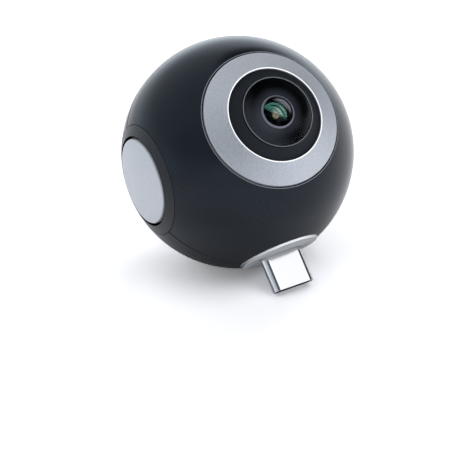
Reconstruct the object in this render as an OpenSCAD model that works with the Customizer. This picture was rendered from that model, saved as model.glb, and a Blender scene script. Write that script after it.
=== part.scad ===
// Ball shaped 360 degree camera that plugs into a phone by a USB-C plug.
// Upright frame: the plug points to -Z, the front lens to -Y, the button to -X.
// The origin is the centre of the base plate's flat face, where the plug leaves it.

/* [Body] */
// Diameter of the ball
ball_d = 43; // [42:0.5:48]
// Wall of the two half shells
wall = 1.8; // [1.4:0.1:2.2]
// Depth of the V groove on the parting line
seam_depth = 0.25; // [0.1:0.05:0.4]
// How far the front shell's locating lip reaches into the rear shell
lip_reach = 1.5; // [0.8:0.1:2]

/* [Lens trim] */
// Outer diameter of the silver trim ring
trim_od = 25; // [24:0.2:26]
// Inner diameter of the silver trim ring
trim_hole_d = 17.3; // [16.8:0.1:18]
// Thickness of the trim ring
trim_t = 1.2; // [0.8:0.1:1.4]
// How far the trim ring stands out of the ball
trim_proud = 0.15; // [0:0.05:0.3]
// Width of the polished chamfer on the inner edge of the trim ring
trim_chamfer = 0.3; // [0.15:0.05:0.4]
// Fall of that chamfer
trim_fall = 0.12; // [0.05:0.01:0.3]
// Chamfer on the shell's edge round the trim ring
rim_chamfer = 0.2; // [0.1:0.05:0.4]
// Number of fine grooves on the bezel
bezel_grooves = 7; // [3:1:9]
// Depth of a bezel groove
groove_depth = 0.06; // [0.02:0.01:0.1]

/* [Lens] */
// Outer diameter of the thin retaining ring round the glass
lens_d = 13.1; // [12.6:0.1:13.4]
// Wall of the retaining ring
lens_ring_w = 0.22; // [0.15:0.01:0.3]
// How far the retaining ring stands out of the ball
lens_proud = 0.5; // [0.3:0.05:0.8]
// Height of the glass dome above the retaining ring
dome_rise = 1.95; // [1.2:0.05:2.4]
// Thickness of the outer lens at its edge
lens_edge = 0.9; // [0.8:0.1:1.4]
// Radius of the hollow ground into the back of the outer lens
hollow_r = 3.2; // [3:0.05:3.4]
// Diameter of the lens barrel behind the bezel
barrel_d = 14.6; // [14:0.1:14.8]
// Diameter of the barrel's threaded tail
tail_d = 11.2; // [10.4:0.1:11.4]
// Diameter of the inner lens
inner_lens_d = 9.1; // [8.6:0.1:9.4]
// Diameter of the relay lens
relay_d = 7.7; // [7:0.1:7.9]
// Thickness of the relay lens
relay_t = 3.5; // [2.5:0.1:3.8]
// Diameter of the hole in the aperture stop
stop_d = 2; // [1:0.1:3]

/* [Sensor stack] */
// Height of a sensor board
sensor_board_h = 14; // [12.5:0.1:15]
// Thickness of a sensor board
sensor_board_t = 0.8; // [0.6:0.1:1]
// Gap between the main board and a sensor board
board_gap = 2.9; // [2.7:0.1:3.4]
// Width of the image sensor
sensor_w = 7.4; // [6:0.1:7.6]
// Height of the image sensor
sensor_h = 5.9; // [5:0.1:6.5]
// Thickness of the image sensor
sensor_t = 0.9; // [0.6:0.1:1]
// Thickness of the infrared filter
filter_t = 0.4; // [0.2:0.1:0.5]
// Distance of a module screw from the lens axis
module_screw_r = 9.8; // [9.5:0.1:9.9]

/* [Side button] */
// Diameter of the silver side discs
button_d = 15.9; // [15:0.1:16.4]
// How far the disc's edge lies below the ball's surface
button_sink = 0.05; // [0:0.05:0.4]
// Radius of the disc's domed face
button_dome_r = 22; // [22:1:60]
// Gap round the disc, the stem and the plunger that move together
button_gap = 0.25; // [0.2:0.05:0.35]
// Travel of the button
button_travel = 0.4; // [0.2:0.05:0.5]
// Diameter of the button's stem
stem_d = 5; // [4.2:0.1:5.4]
// Outer diameter of the collar round a side disc
collar_d = 20.5; // [20:0.1:21]
// Chamfer on the collar's edge round the disc
collar_chamfer = 0.2; // [0.1:0.05:0.4]

/* [Base and plug] */
// Diameter of the base plate
base_d = 15.2; // [14.6:0.1:15.8]
// How far the base plate stands out of the ball at its rim
base_proud = 0.35; // [0.2:0.05:0.5]
// Depth of the base plate's neck, down to its flange
base_neck = 1.6; // [1.4:0.1:1.8]
// Polished chamfer round the base plate
base_chamfer = 0.3; // [0.1:0.05:0.4]
// Width of the plug's shell
plug_w = 8.25; // [8.2:0.01:8.3]
// Thickness of the plug's shell
plug_t = 2.4; // [2.35:0.01:2.45]
// Length of the plug outside the base plate
plug_len = 6.65; // [6.2:0.05:7.5]
// Wall of the plug's shell
plug_wall = 0.25; // [0.15:0.01:0.28]
// Width of the slot for the socket's tongue
tongue_w = 6.7; // [6.6:0.01:6.8]
// Contacts in one row
contacts = 12; // [6:1:12]

/* [Boards] */
// Gap between the main board's edge and the pocket of a side collar
board_side_gap = 0.8; // [0.5:0.1:3]
// Thickness of the main board
board_t = 1; // [0.8:0.1:1.1]
// Distance of the main board's top edge above the ball's centre
board_top = 13.5; // [13:0.1:14.5]
// Sideways distance of a board screw from the ball's centre
board_screw_x = 8; // [7.6:0.1:8.2]
// Height of a board screw above or below the ball's centre
board_screw_z = 11.5; // [11:0.1:11.6]
// Width of the image processor
processor_w = 8; // [6:0.1:9]
// Width of the shield can
can_w = 11.4; // [10:0.1:12.4]
// Inside height of the shield can
can_h = 1.7; // [1.4:0.1:2]

/* [Hidden] */
$fn = 96;

// Overlap for cuts that run out of a solid
eps = 0.5;
// Gap round a part that drops into a round hole
slip = 0.1;
// Gap between two faces that a fastener pulls together at another place
rest_gap = 0.1;
// Gap round a part that is pushed or glued into its seat
push = 0.03;
// Thickness of a film of glue
glue = 0.05;

ball_r = ball_d / 2;
shell_in_r = ball_r - wall;
lip_gap = 0.25;
lip_w = 1.1;
lip_r = shell_in_r - lip_gap;
lip_in_r = lip_r - lip_w;
lip_root = 0.3;
lip_root_r = shell_in_r + wall / 3;

// Distance from the ball's middle plane to its surface, at radius r from the axis
function surface_h(r, ball = ball_r) = sqrt(ball * ball - r * r);
// Radius of the ball that has the given rise over a rim of radius r
function cap_r(r, rise) = (r * r + rise * rise) / (2 * rise);

// Trim ring: a cone that follows the ball, on a parallel seat
trim_r = trim_od / 2;
trim_bore_r = trim_hole_d / 2;
trim_gap = 0.2;
trim_out_h = surface_h(trim_r) + trim_proud;
trim_in_h = surface_h(trim_bore_r) + trim_proud;
trim_slope = (trim_in_h - trim_out_h) / (trim_r - trim_bore_r);
function trim_top(r) = trim_out_h + (trim_r - r) * trim_slope;
function trim_seat(r) = trim_top(r) - trim_t;
trim_pocket_r = trim_r + trim_gap;
rim_h = surface_h(trim_pocket_r) - rim_chamfer;
trim_edge = 0.12;
flange_t = 1.6;
flange_root = 1.3;
flange_r = trim_pocket_r + flange_root;

// Bezel and outer lens, as heights above the ball's centre along the lens axis
bezel_r = trim_bore_r - slip;
bezel_drop = 0.45;
bezel_h = trim_seat(trim_bore_r) - bezel_drop;
bezel_sink = 0.2;
bezel_land = 0.2;
lens_ring_r = lens_d / 2;
bezel_bore_r = lens_ring_r + slip;
lens_ring_h = surface_h(lens_ring_r) + lens_proud;
glass_r = lens_ring_r - lens_ring_w - push;
dome_sink = 0.05;
dome_h = lens_ring_h - dome_sink;
dome_r = cap_r(glass_r, dome_rise);
glass_back_h = dome_h - lens_edge;
hollow_rim_r = 2.8;

// Barrel and the pieces in it
barrel_r = barrel_d / 2;
barrel_clear = 0.3;
lens_bore_r = barrel_r + barrel_clear;
flange_in_r = lens_bore_r - eps;
shoulder_h = bezel_h - rest_gap;
spigot_r = glass_r;
inner_lens_r = inner_lens_d / 2;
inner_edge = 1.4;
inner_dish_r = 7;
inner_land = 0.15;
inner_gap = 0.15;
spacer_wall = 1;
spacer_h = 1.4;
inner_seat_h = glass_back_h - inner_edge - spacer_h;
relay_r = relay_d / 2;
relay_back = 2.5;
relay_dish_r = 9;
relay_rim = 0.7;
stop_t = 0.5;

// Sensor stack, from the main board outwards
sensor_back_h = board_t / 2 + board_gap;
sensor_top_h = sensor_back_h + sensor_board_t;
cavity = 1.7;
ledge_h = sensor_top_h + cavity;
ledge_t = 0.5;
focus_gap = 0.6;
barrel_base_h = ledge_h + ledge_t + focus_gap;
relay_seat_h = barrel_base_h + relay_back;
tail_r = tail_d / 2;
holder_wall = 1;
holder_r = tail_r + holder_wall;
holder_grip = 6.9;
holder_top_h = barrel_base_h + holder_grip;
tail_top_h = holder_top_h + focus_gap;
ear_t = 1.2;
ear_r = 1.7;
sensor_board_w = 2 * (module_screw_r + ear_r);
sensor_glass_rim = 1.1;
sensor_glass_t = 0.1;
post_r = 1.9;
post_bore = 4;
filter_w = 7.2;
cavity_w = 8.2;
light_r = 2.8;

// Screws
screw_r = 0.6;
pilot_r = screw_r + 0.05;
through_r = screw_r + slip;
screw_head_r = 1.2;
screw_head_t = 0.8;
screw_slot = 0.3;
screw_slot_len = 1.6;
screw_short = 0.5;

// Side discs and collars, as heights above the ball's centre along the side axis
button_r = button_d / 2;
collar_bore_r = button_r + button_gap;
collar_r = collar_d / 2;
pocket_r = collar_r + slip;
pocket_wall = 1.3;
button_edge_h = surface_h(button_r) - button_sink;
button_edge_t = 1.3;
button_under_h = button_edge_h - button_edge_t;
button_chamfer = 0.25;
skirt_w = 0.9;
skirt_in_r = button_r - skirt_w;
disc_room = 1.9;
stop_room = 0.3;
collar_plate_t = 1.3;
collar_plate_h = button_under_h - disc_room;
collar_base_h = collar_plate_h - collar_plate_t;
skirt_foot_h = collar_plate_h + button_travel + stop_room;
collar_screw_r = skirt_in_r - screw_head_r - slip;
floor_t = 1.4;
floor_h = collar_base_h - floor_t;
board_w = 2 * (floor_h - board_side_gap);
screw_boss_r = 1.5;
screw_boss_len = 1.4;
stem_r = stem_d / 2;
stem_guide_r = stem_r + button_gap;
clip_t = 0.4;
clip_lip = 1.1;
clip_groove = 0.45;
clip_r = stem_r + clip_lip;
clip_h = collar_base_h - rest_gap - clip_t;
clip_bore_r = stem_r - clip_groove;
clip_mouth = 3.2;
floor_hole_r = clip_r + barrel_clear;
stem_end = 0.6;
stem_end_h = clip_h - stem_end;

// Side switch, let into the main board's edge
switch_sink = 0.2;
switch_face_h = board_w / 2 - switch_sink;
switch_deep = 3.4;
switch_w = 6;
switch_t = 3.4;
switch_wing = 0.8;
switch_wing_t = 0.4;
plunger_r = 1;
plunger_in = 1.2;
plunger_hole_r = plunger_r + button_gap;
notch_clear = 0.15;

// Base plate and plug, measured up from the base plate's face
base_r = base_d / 2;
ball_z = surface_h(base_r) + base_proud;
base_flange_w = 1;
base_flange_r = base_r + base_flange_w;
base_flange_t = 1;
base_top = base_neck + base_flange_t;
base_boss_w = 1.6;
base_boss_r = base_flange_r + base_boss_w;
base_boss_t = 1.2;
plug_hole_gap = 0.2;
carrier_wall = 1.35;
carrier_w = plug_w + 2 * carrier_wall;
carrier_t = plug_t + 2 * carrier_wall;
carrier_clear = 0.5;
base_hole_r = norm([carrier_w, carrier_t]) / 2 + carrier_clear;
carrier_h = 3.8;
carrier_cap = 0.4;
plug_root = base_top + carrier_h - carrier_cap;
contact_w = 0.25;
contact_pitch = 0.5;
contact_t = 0.12;
contact_tip = 1;
contact_tail = 2;
tongue_t = board_t + 2 * contact_t;
insulator_sink = 0.3;
board_foot = base_top + carrier_h + rest_gap;
contact_len = plug_len - contact_tip + board_foot + contact_tail;

// Main board
board_r = 17;
memory_w = 7;
memory_h = 5.5;
memory_t = 1;
memory_place = [4.6, -4, board_t / 2];
coil_w = 4;
coil_t = 1.9;
coil_place = [-4.5, -4.5, board_t / 2];
capacitor_size = [0.7, 1.4, 0.7];
capacitor_pitch = 1.6;
capacitor_count = 6;
capacitor_row = 2.5;
can_t = 0.2;
processor_t = 1.1;
pad_inset = 0.5;
pad_w = processor_w - 2 * pad_inset;
flex_w = 6;
flex_t = 0.2;
flex_top = 10.6;
flex_foot = 5.2;
socket_w = 8;
socket_t = 0.9;
socket_h = 1.5;
socket_drop = 0.7;
socket_top = flex_top - socket_drop;
socket_slot = 0.4;
socket_mid_h = board_t / 2 + socket_t / 2;

// Places

// Lens axis: children stand on the ball's centre, their +Z leaving through the front lens
module front() {
    translate([0, 0, ball_z]) rotate([90, 0, 0]) children();
}

// The same for the rear lens
module rear() {
    translate([0, 0, ball_z]) rotate([90, 0, 180]) children();
}

// Side axis: children's +Z leaves through the button
module left() {
    translate([0, 0, ball_z]) rotate([0, -90, 0]) children();
}

// The same for the fixed side plate
module right() {
    translate([0, 0, ball_z]) rotate([0, 90, 0]) children();
}

// Children at the ball's centre, in the row's own directions
module centre() {
    translate([0, 0, ball_z]) children();
}

module at_module_screws() {
    for (x = [-1, 1]) translate([x * module_screw_r, 0, 0]) children();
}

module at_collar_screws() {
    for (a = [45 : 90 : 315]) rotate([0, 0, a]) translate([collar_screw_r, 0, 0]) children();
}

module at_board_screws() {
    for (x = [-1, 1], y = [-1, 1]) translate([x * board_screw_x, y * board_screw_z, 0]) children();
}

// Shapes

// A tube between heights h0 and h1
module tube(r_out, r_in, h0, h1) {
    difference() {
        translate([0, 0, h0]) cylinder(r = r_out, h = h1 - h0);
        translate([0, 0, h0 - eps]) cylinder(r = r_in, h = h1 - h0 + 2 * eps);
    }
}

module rod(r, h0, h1) {
    translate([0, 0, h0]) cylinder(r = r, h = h1 - h0);
}

// A block centred on the axis between heights h0 and h1
module block(w, d, h0, h1) {
    translate([-w / 2, -d / 2, h0]) cube([w, d, h1 - h0]);
}

// A slab with round ends, as wide as w and as thick as t
module stadium(w, t, h0, h1) {
    block(w - t, t, h0, h1);
    for (x = [-1, 1]) translate([x * (w - t) / 2, 0, 0]) rod(t / 2, h0, h1);
}

// A screw whose head rests on height 0 and whose shank points down
module screw(len) {
    difference() {
        union() {
            rod(screw_head_r, 0, screw_head_t);
            rod(screw_r, -len, eps / 2);
        }
        for (a = [0, 90])
            rotate([0, 0, a]) block(screw_slot_len, screw_slot, screw_head_t / 2, screw_head_t + eps);
    }
}

// Half shells, drawn with the lens axis up

// The round pocket that takes a collar, on one side of the ball
module pocket_solid() {
    rod(pocket_r + pocket_wall, floor_h, ball_r);
    at_collar_screws() rod(screw_boss_r, floor_h - screw_boss_len, floor_h + eps);
}

module pocket_cut() {
    rod(pocket_r, collar_base_h, ball_r + eps);
    rod(floor_hole_r, floor_h - screw_boss_len - eps, ball_r);
    at_collar_screws() rod(pilot_r, floor_h - screw_boss_len - eps, collar_base_h + eps);
}

// The ring boss that holds the base plate's flange, its axis leaving through the plug
module base_solid() {
    rod(base_boss_r, ball_z - base_top - base_boss_t, ball_r);
}

module base_cut() {
    rod(base_hole_r, ball_z - base_top - base_boss_t - eps, ball_r);
    rod(base_flange_r + slip, ball_z - base_top, ball_z - base_neck);
    rod(base_r + slip, ball_z - base_neck - eps, ball_r + eps);
}

// The flange that carries the trim ring and the bezel
module trim_flange() {
    rotate_extrude()
        polygon([
            [flange_in_r, trim_seat(flange_in_r) - flange_t],
            [flange_r, trim_seat(flange_r) - flange_t],
            [flange_r, ball_r],
            [flange_in_r, ball_r]
        ]);
}

module trim_cut() {
    rotate_extrude()
        polygon([
            [flange_in_r, trim_seat(flange_in_r) - glue],
            [trim_pocket_r, trim_seat(trim_pocket_r) - glue],
            [trim_pocket_r, rim_h],
            [trim_pocket_r + ball_r - rim_h, ball_r],
            [flange_in_r, ball_r]
        ]);
    rod(bezel_r + slip, bezel_h, ball_r + eps);
    rod(lens_bore_r, trim_seat(trim_r) - flange_t, ball_r + eps);
}

// Locating lip on the parting plane, left out where a pocket or the base crosses it
module lip() {
    difference() {
        rotate_extrude()
            polygon([
                [lip_in_r, -lip_reach],
                [lip_r, -lip_reach],
                [lip_r, lip_root],
                [lip_root_r, lip_root],
                [lip_root_r, lip_reach],
                [lip_in_r, lip_reach + lip_w]
            ]);
        for (a = [-90, 90]) rotate([0, a, 0]) rod(pocket_r + pocket_wall + slip, 0, ball_r);
        rotate([90, 0, 0]) rotate([0, 0, 90]) rod(base_boss_r + slip, 0, ball_r);
    }
}

module seam_cut() {
    rotate_extrude()
        polygon([
            [ball_r - seam_depth, -eps],
            [ball_r + eps, -eps],
            [ball_r + eps, seam_depth + eps],
            [ball_r - seam_depth, 0]
        ]);
}

// The room inside a half shell, with everything that stands in it left out
module shell_room(with_board_posts) {
    difference() {
        sphere(shell_in_r);
        for (a = [-90, 90]) rotate([0, a, 0]) pocket_solid();
        rotate([90, 0, 0]) rotate([0, 0, 90]) base_solid();
        trim_flange();
        at_module_screws() rod(post_r, sensor_top_h + ear_t, ball_r);
        if (with_board_posts) at_board_screws() rod(post_r, board_t / 2, ball_r);
    }
}

module half_shell(with_lip, with_board_posts) {
    difference() {
        sphere(ball_r);
        block(ball_d + eps, ball_d + eps, -ball_r - eps, 0);
        shell_room(with_board_posts);
        for (a = [-90, 90]) rotate([0, a, 0]) pocket_cut();
        rotate([90, 0, 0]) rotate([0, 0, 90]) base_cut();
        trim_cut();
        seam_cut();
        at_module_screws() rod(pilot_r, 0, sensor_top_h + ear_t + post_bore);
        if (with_board_posts) at_board_screws() rod(pilot_r, 0, board_t / 2 + post_bore);
    }
    if (with_lip) lip();
}

// Lens pieces, drawn with the lens axis up

module trim_ring() {
    rotate_extrude()
        polygon([
            [trim_bore_r, trim_seat(trim_bore_r)],
            [trim_r, trim_seat(trim_r)],
            [trim_r, trim_top(trim_r) - trim_edge],
            [trim_r - trim_edge, trim_top(trim_r - trim_edge)],
            [trim_bore_r + trim_chamfer, trim_top(trim_bore_r + trim_chamfer)],
            [trim_bore_r, trim_top(trim_bore_r + trim_chamfer) - trim_fall]
        ]);
}

module bezel() {
    rim_h = trim_in_h - trim_chamfer - bezel_sink;
    tip_h = lens_ring_h - bezel_sink;
    pitch = (bezel_r - bezel_bore_r - 2 * bezel_land) / bezel_grooves;
    function face(r) = rim_h + (bezel_r - r) * (tip_h - rim_h) / (bezel_r - bezel_bore_r);
    groove_points = [
        for (i = [0 : bezel_grooves - 1], half = [0, 1])
            let (r = bezel_r - bezel_land - (i + half / 2) * pitch)
            [r, face(r) - half * groove_depth]
    ];
    rotate_extrude()
        polygon(concat(
            [[bezel_bore_r, bezel_h], [bezel_r, bezel_h], [bezel_r, face(bezel_r)]],
            groove_points,
            [[bezel_bore_r + bezel_land, face(bezel_bore_r + bezel_land)]],
            [[bezel_bore_r, face(bezel_bore_r)]]
        ));
}

module retaining_ring() {
    tube(lens_ring_r, lens_ring_r - lens_ring_w, shoulder_h, lens_ring_h);
}

module outer_lens() {
    hollow_h = glass_back_h - surface_h(hollow_rim_r, hollow_r);
    difference() {
        intersection() {
            rod(glass_r, glass_back_h, dome_h + dome_rise + eps);
            translate([0, 0, dome_h + dome_rise - dome_r]) sphere(dome_r);
        }
        translate([0, 0, hollow_h]) sphere(hollow_r);
    }
}

module lens_spacer() {
    tube(inner_lens_r, inner_lens_r - spacer_wall, inner_seat_h + inner_edge, glass_back_h);
}

module inner_lens() {
    boss_r = inner_lens_r - spacer_wall - push;
    boss_h = glass_back_h - inner_gap;
    difference() {
        union() {
            rod(inner_lens_r, inner_seat_h, inner_seat_h + inner_edge);
            rod(boss_r, inner_seat_h, boss_h);
        }
        translate([0, 0, boss_h + surface_h(boss_r - inner_land, inner_dish_r)]) sphere(inner_dish_r);
    }
}

module aperture_stop() {
    difference() {
        rod(relay_r, relay_seat_h + relay_t, inner_seat_h);
        rod(relay_r - stop_t, relay_seat_h + relay_t + stop_t, inner_seat_h + eps);
        rod(stop_d / 2, relay_seat_h, inner_seat_h);
    }
}

module relay_lens() {
    top_h = relay_seat_h + relay_t;
    drop = surface_h(relay_r - relay_rim, relay_dish_r);
    difference() {
        rod(relay_r, relay_seat_h, top_h);
        for (h = [relay_seat_h - drop, top_h + drop]) translate([0, 0, h]) sphere(relay_dish_r);
    }
}

module lens_barrel() {
    difference() {
        union() {
            rod(tail_r, barrel_base_h, tail_top_h + eps);
            rod(barrel_r, tail_top_h, shoulder_h);
            rod(spigot_r, shoulder_h - eps, glass_back_h);
        }
        rod(light_r, 0, ball_r);
        rod(relay_r + push, relay_seat_h, ball_r);
        rod(inner_lens_r + push, inner_seat_h, ball_r);
    }
}

module lens_holder() {
    difference() {
        union() {
            rod(holder_r, sensor_top_h, holder_top_h);
            block(2 * module_screw_r, 2 * ear_r, sensor_top_h, sensor_top_h + ear_t);
            at_module_screws() rod(ear_r, sensor_top_h, sensor_top_h + ear_t);
        }
        rod(tail_r + push, ledge_h + ledge_t, holder_top_h + eps);
        rod(light_r, sensor_top_h - eps, holder_top_h);
        block(cavity_w, cavity_w, sensor_top_h - eps, ledge_h);
        at_module_screws() rod(through_r, sensor_top_h - eps, sensor_top_h + ear_t + eps);
    }
}

module ir_filter() {
    block(filter_w, filter_w, ledge_h - filter_t, ledge_h);
}

module image_sensor() {
    rim = 2 * sensor_glass_rim;
    top_h = sensor_top_h + sensor_t;
    block(sensor_w, sensor_h, sensor_top_h, top_h - sensor_glass_t);
    block(sensor_w - rim, sensor_h - rim, top_h - 2 * sensor_glass_t, top_h);
}

module sensor_board() {
    difference() {
        block(sensor_board_w, sensor_board_h, sensor_back_h, sensor_top_h);
        at_module_screws() rod(through_r, 0, ball_r);
    }
}

// Flat cable from the back of a sensor board up and over into its socket on the main board
module sensor_flex() {
    translate([-flex_w / 2, flex_foot, sensor_back_h - flex_t])
        cube([flex_w, flex_top - flex_foot, flex_t]);
    translate([-flex_w / 2, flex_top - flex_t, socket_mid_h - flex_t / 2])
        cube([flex_w, flex_t, sensor_back_h - socket_mid_h + flex_t / 2]);
    translate([-flex_w / 2, socket_top - socket_slot, socket_mid_h - flex_t / 2])
        cube([flex_w, flex_top - socket_top + socket_slot, flex_t]);
}

module flex_socket() {
    difference() {
        translate([-socket_w / 2, socket_top - socket_h, board_t / 2])
            cube([socket_w, socket_h, socket_t]);
        translate([-flex_w / 2 - push, socket_top - socket_slot, socket_mid_h - flex_t / 2 - push])
            cube([flex_w + 2 * push, socket_slot + eps, flex_t + 2 * push]);
    }
}

module module_screws() {
    len = sensor_board_t + ear_t + post_bore - screw_short;
    at_module_screws() translate([0, 0, sensor_back_h]) mirror([0, 0, 1]) screw(len);
}

// Side pieces, drawn with the side axis up

// A domed disc with a chamfered edge, hollow behind, its skirt reaching down to foot_h
module side_disc(foot_h) {
    rise = button_dome_r - surface_h(button_r, button_dome_r);
    difference() {
        intersection() {
            rod(button_r, foot_h, button_edge_h + rise + eps);
            translate([0, 0, button_edge_h + rise - button_dome_r]) sphere(button_dome_r);
            rod_with_chamfer(button_r, foot_h, button_edge_h);
        }
        rod(skirt_in_r, foot_h - eps, button_under_h);
    }
}

// A rod whose top edge is cut back by the disc's chamfer, and which is open above it
module rod_with_chamfer(r, h0, edge_h) {
    rotate_extrude()
        polygon([
            [0, h0],
            [r, h0],
            [r, edge_h - button_chamfer],
            [r - button_chamfer, edge_h + button_chamfer],
            [r - button_chamfer, ball_r],
            [0, ball_r]
        ]);
}

module collar() {
    difference() {
        intersection() {
            rod(collar_r, collar_base_h, ball_r);
            sphere(ball_r);
        }
        rod(collar_bore_r, collar_plate_h, ball_r + eps);
        translate([0, 0, surface_h(collar_bore_r) - collar_chamfer])
            cylinder(r1 = collar_bore_r, r2 = collar_bore_r + eps, h = eps);
        rod(stem_guide_r, collar_base_h - eps, collar_plate_h + eps);
        at_collar_screws() rod(through_r, collar_base_h - eps, collar_plate_h + eps);
    }
}

module collar_screw_set() {
    len = collar_plate_t + floor_t + screw_boss_len - screw_short;
    at_collar_screws() translate([0, 0, collar_plate_h]) screw(len);
}

// Nodes

module front_shell() {
    color("#26282c") front() half_shell(true, false);
}

module rear_shell() {
    color("#26282c") rear() half_shell(false, true);
}

module front_trim_ring() {
    color("#b4bac2") front() trim_ring();
}

module rear_trim_ring() {
    color("#b4bac2") rear() trim_ring();
}

module front_bezel() {
    color("#2b2f36") front() bezel();
}

module rear_bezel() {
    color("#2b2f36") rear() bezel();
}

module front_retaining_ring() {
    color("#7d8087") front() retaining_ring();
}

module rear_retaining_ring() {
    color("#7d8087") rear() retaining_ring();
}

module front_outer_lens() {
    color("#1a2530") front() outer_lens();
}

module rear_outer_lens() {
    color("#1a2530") rear() outer_lens();
}

module front_inner_lens() {
    color("#24463a") front() inner_lens();
}

module rear_inner_lens() {
    color("#24463a") rear() inner_lens();
}

module front_lens_spacer() {
    color("#3a3c40") front() lens_spacer();
}

module rear_lens_spacer() {
    color("#3a3c40") rear() lens_spacer();
}

module front_aperture_stop() {
    color("#2d2d2f") front() aperture_stop();
}

module rear_aperture_stop() {
    color("#2d2d2f") rear() aperture_stop();
}

module front_relay_lens() {
    color("#8fb4c4") front() relay_lens();
}

module rear_relay_lens() {
    color("#8fb4c4") rear() relay_lens();
}

module front_lens_barrel() {
    color("#34363a") front() lens_barrel();
}

module rear_lens_barrel() {
    color("#34363a") rear() lens_barrel();
}

module front_lens_holder() {
    color("#1f2022") front() lens_holder();
}

module rear_lens_holder() {
    color("#1f2022") rear() lens_holder();
}

module front_ir_filter() {
    color("#b96a6a") front() ir_filter();
}

module rear_ir_filter() {
    color("#b96a6a") rear() ir_filter();
}

module front_image_sensor() {
    color("#5a5470") front() image_sensor();
}

module rear_image_sensor() {
    color("#5a5470") rear() image_sensor();
}

module front_sensor_board() {
    color("#1e5a3a") front() sensor_board();
}

module rear_sensor_board() {
    color("#1e5a3a") rear() sensor_board();
}

module front_sensor_flex() {
    color("#c58a3a") front() sensor_flex();
}

module rear_sensor_flex() {
    color("#c58a3a") rear() sensor_flex();
}

module front_module_screws() {
    color("#a8a8a8") front() module_screws();
}

module rear_module_screws() {
    color("#a8a8a8") rear() module_screws();
}

module button_cap() {
    color("#c2c8d0") left() {
        side_disc(skirt_foot_h);
        difference() {
            rod(stem_r, stem_end_h, button_under_h + eps);
            tube(clip_r, clip_bore_r, clip_h, clip_h + clip_t);
        }
    }
}

module button_clip() {
    color("#a8a8a8") left() difference() {
        tube(clip_r, clip_bore_r + push, clip_h, clip_h + clip_t);
        translate([0, -clip_mouth / 2, clip_h - eps])
            cube([clip_r + eps, clip_mouth, clip_t + 2 * eps]);
    }
}

module button_collar() {
    color("#26282c") left() collar();
}

module side_plate() {
    color("#c2c8d0") right() {
        side_disc(collar_plate_h);
        rod(stem_guide_r - push, collar_base_h, button_under_h + eps);
    }
}

module side_collar() {
    color("#26282c") right() collar();
}

module collar_screws() {
    color("#a8a8a8") {
        left() collar_screw_set();
        right() collar_screw_set();
    }
}

module side_switch() {
    back_h = switch_face_h - switch_deep;
    color("#3d3f43") left() difference() {
        union() {
            block(switch_w, switch_t, back_h, switch_face_h);
            translate([0, -board_t / 2 - switch_wing_t / 2, 0])
                block(switch_w + 2 * switch_wing, switch_wing_t, back_h, switch_face_h - eps);
        }
        rod(plunger_hole_r, switch_face_h - plunger_in - button_travel - stop_room, switch_face_h + eps);
    }
}

module switch_plunger() {
    color("#d8d8d0") left() rod(plunger_r, switch_face_h - plunger_in, stem_end_h);
}

module main_board() {
    notch_w = switch_w + 2 * notch_clear;
    notch_d = switch_deep + notch_clear + eps;
    color("#1e5a3a") centre() rotate([90, 0, 0]) difference() {
        intersection() {
            translate([-board_w / 2, board_foot - ball_z, -board_t / 2])
                cube([board_w, board_top - board_foot + ball_z, board_t]);
            rod(board_r, -board_t, board_t);
        }
        at_board_screws() rod(through_r, -board_t, board_t);
        translate([-switch_face_h - eps, -notch_w / 2, -board_t]) cube([notch_d, notch_w, 2 * board_t]);
    }
}

module image_processor() {
    color("#2a2a2e") rear() block(processor_w, processor_w, board_t / 2, board_t / 2 + processor_t);
}

module thermal_pad() {
    color("#9aa7c4") rear() block(pad_w, pad_w, board_t / 2 + processor_t, board_t / 2 + can_h);
}

module shield_can() {
    color("#b9bcc0") rear() difference() {
        block(can_w, can_w, board_t / 2, board_t / 2 + can_h + can_t);
        block(can_w - 2 * can_t, can_w - 2 * can_t, board_t / 2 - eps, board_t / 2 + can_h);
    }
}

module memory_chip() {
    color("#2a2a2e") front() translate(memory_place) block(memory_w, memory_h, 0, memory_t);
}

module power_coil() {
    color("#55565a") front() translate(coil_place) block(coil_w, coil_w, 0, coil_t);
}

module capacitors() {
    start = -(capacitor_count - 1) / 2 * capacitor_pitch;
    color("#b09a78") front()
        for (i = [0 : capacitor_count - 1])
            translate([start + i * capacitor_pitch, capacitor_row, board_t / 2])
                block(capacitor_size.x, capacitor_size.y, 0, capacitor_size.z);
}

module flex_sockets() {
    color("#d9d4c4") {
        front() flex_socket();
        rear() flex_socket();
    }
}

module board_screws() {
    len = board_t + post_bore - screw_short;
    color("#a8a8a8") front() at_board_screws() translate([0, 0, board_t / 2]) screw(len);
}

module base_plate() {
    color("#c2c8d0") difference() {
        rotate_extrude()
            polygon([
                [0, 0],
                [base_r - base_chamfer, 0],
                [base_r, base_chamfer],
                [base_r, base_neck],
                [base_flange_r, base_neck],
                [base_flange_r, base_top],
                [0, base_top]
            ]);
        stadium(plug_w + 2 * plug_hole_gap, plug_t + 2 * plug_hole_gap, -eps, base_top + eps);
    }
}

module plug_shell() {
    color("#d4d4d4") difference() {
        stadium(plug_w, plug_t, -plug_len, plug_root);
        stadium(plug_w - 2 * plug_wall, plug_t - 2 * plug_wall, -plug_len - eps, plug_root + eps);
    }
}

module plug_insulator() {
    gap = 2 * (plug_wall + push);
    color("#1f2022") difference() {
        stadium(plug_w - gap, plug_t - gap, insulator_sink - plug_len, plug_root - eps);
        block(tongue_w, tongue_t, -plug_len, plug_root);
    }
}

module plug_contacts() {
    start = -(contacts - 1) / 2 * contact_pitch - contact_w / 2;
    color("#d8b25a")
        for (i = [0 : contacts - 1], side = [0, 180])
            rotate([0, 0, side])
                translate([start + i * contact_pitch, board_t / 2, contact_tip - plug_len])
                    cube([contact_w, contact_t, contact_len]);
}

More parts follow.
